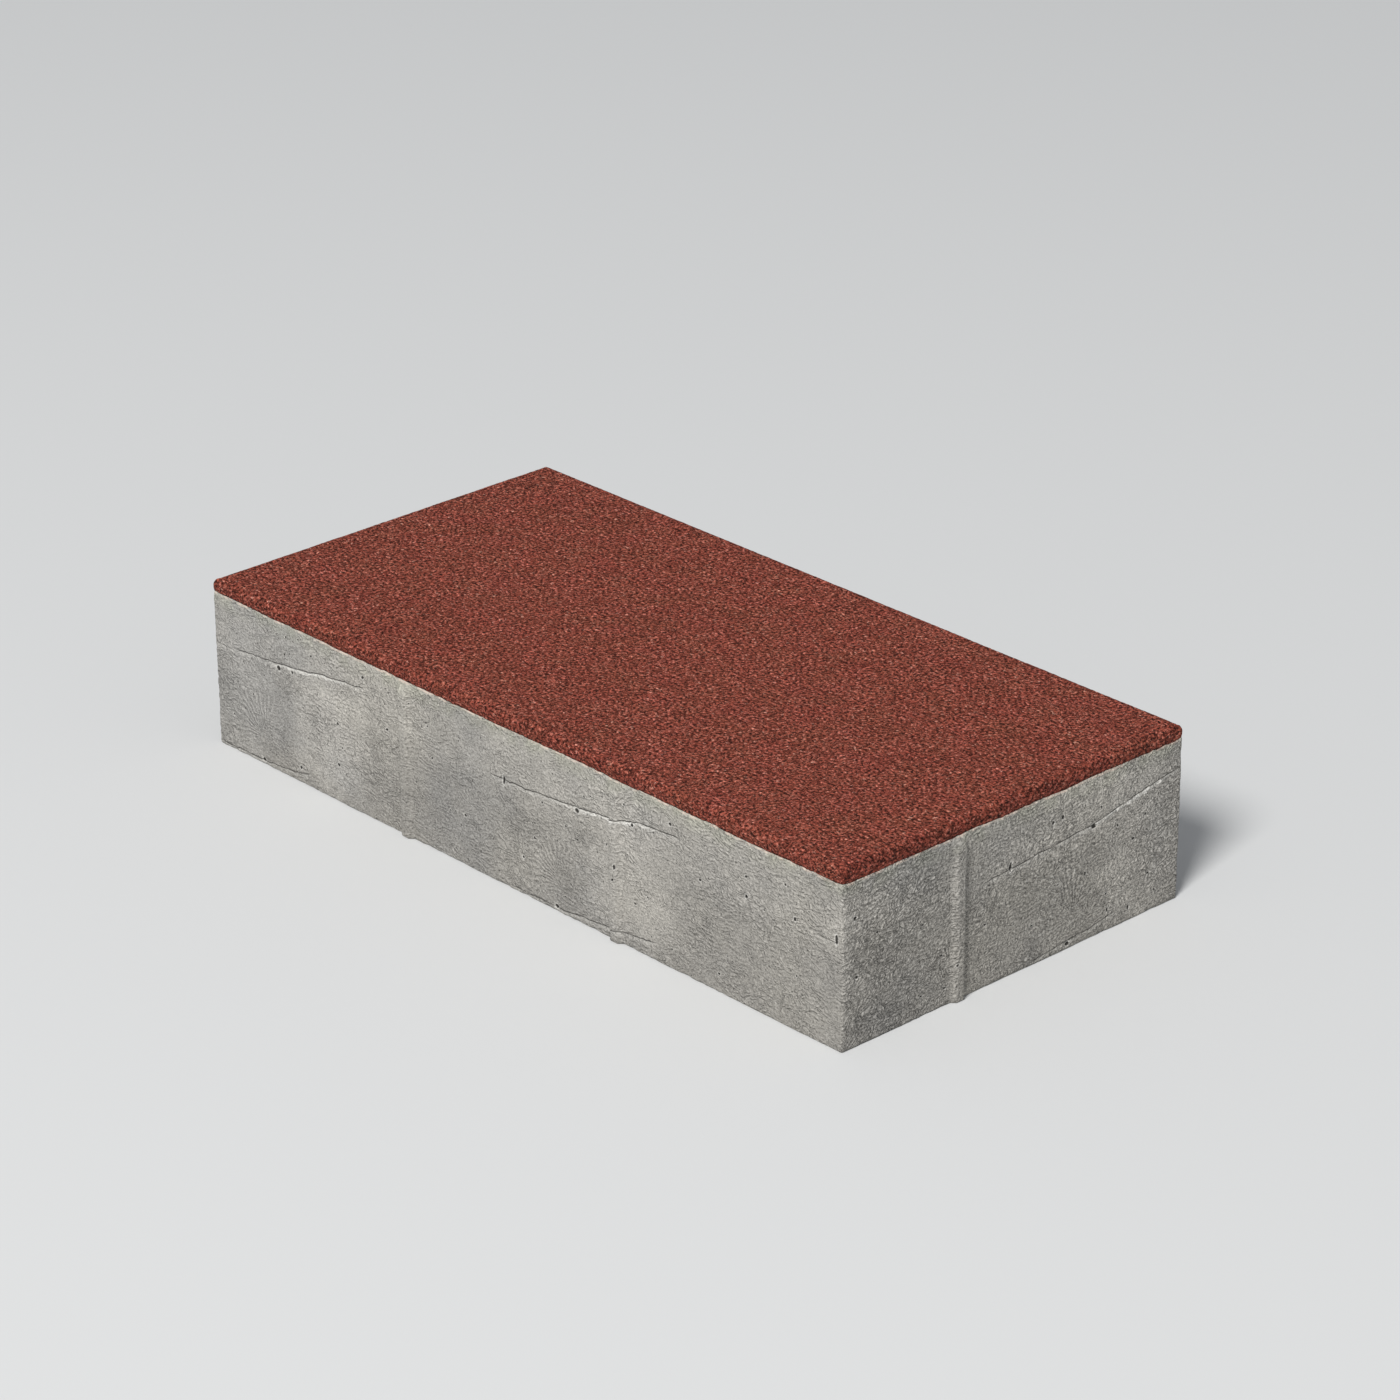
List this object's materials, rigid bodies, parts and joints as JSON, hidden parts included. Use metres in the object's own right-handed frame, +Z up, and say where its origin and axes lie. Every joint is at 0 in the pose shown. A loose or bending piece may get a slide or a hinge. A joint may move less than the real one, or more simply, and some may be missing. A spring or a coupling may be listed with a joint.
{
  "type": "concrete paving stone",
  "caption": "Rectangular two-layer concrete paving stone: grey body with upright spacer nibs on its sides, and a thin red facing layer on top.",
  "frame": {"origin": "middle of the underside, which lies in the plane Z = 0", "axes": "+X along the long side, +Y across the stone, +Z up through the red face"},
  "size_m": [0.2, 0.1, 0.04],
  "materials": {
    "grey_concrete": "rough matt cast concrete",
    "red_facing_concrete": "rough matt granular concrete, coloured through with red oxide"
  },
  "bodies": {
    "root": {"grey_concrete": "grey_concrete", "red_facing": "red_facing_concrete"}
  },
  "joints": []
}
